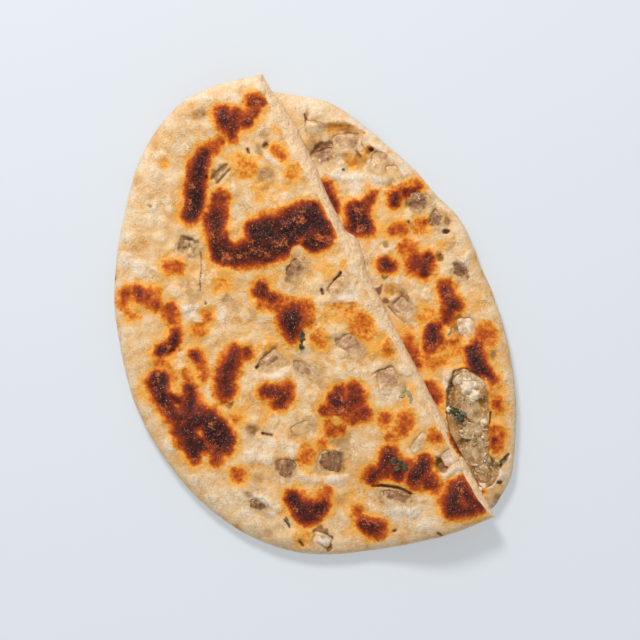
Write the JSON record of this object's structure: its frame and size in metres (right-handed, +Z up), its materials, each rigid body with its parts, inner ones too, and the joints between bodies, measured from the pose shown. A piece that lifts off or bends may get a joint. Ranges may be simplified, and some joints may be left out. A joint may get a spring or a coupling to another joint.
{
  "type": "onion kulcha",
  "caption": "Leavened flatbread filled with diced onion, browned in spots and cut in two, with the larger piece lapped over the smaller.",
  "frame": {"origin": "middle of the bounding box in plan, on the surface that the bread lies on", "axes": "+Z up through the thickness; +Y along the longest way across the bread, towards the upper tip of the cut; +X towards the smaller piece"},
  "size_m": [0.1618, 0.1928, 0.0175],
  "materials": {
    "baked_dough": "dry baked crust, floury and matte, browned in spots",
    "cooked_onion": "moist, slightly translucent, satin"
  },
  "bodies": {
    "root": {"large_piece": "baked_dough", "small_piece": "baked_dough", "bared_filling": "cooked_onion", "large_piece_onion_01": "cooked_onion", "large_piece_onion_02": "cooked_onion", "large_piece_onion_03": "cooked_onion", "large_piece_onion_04": "cooked_onion", "large_piece_onion_05": "cooked_onion", "large_piece_onion_06": "cooked_onion", "large_piece_onion_07": "cooked_onion", "large_piece_onion_08": "cooked_onion", "large_piece_onion_09": "cooked_onion", "large_piece_onion_10": "cooked_onion", "large_piece_onion_11": "cooked_onion", "large_piece_onion_12": "cooked_onion", "large_piece_onion_13": "cooked_onion", "large_piece_onion_14": "cooked_onion", "large_piece_onion_in_cut": "cooked_onion", "small_piece_onion_01": "cooked_onion", "small_piece_onion_02": "cooked_onion", "small_piece_onion_03": "cooked_onion", "small_piece_onion_04": "cooked_onion", "small_piece_onion_05": "cooked_onion", "small_piece_onion_06": "cooked_onion", "small_piece_onion_07": "cooked_onion", "small_piece_onion_08": "cooked_onion", "small_piece_onion_09": "cooked_onion", "small_piece_onion_10": "cooked_onion"}
  },
  "joints": []
}
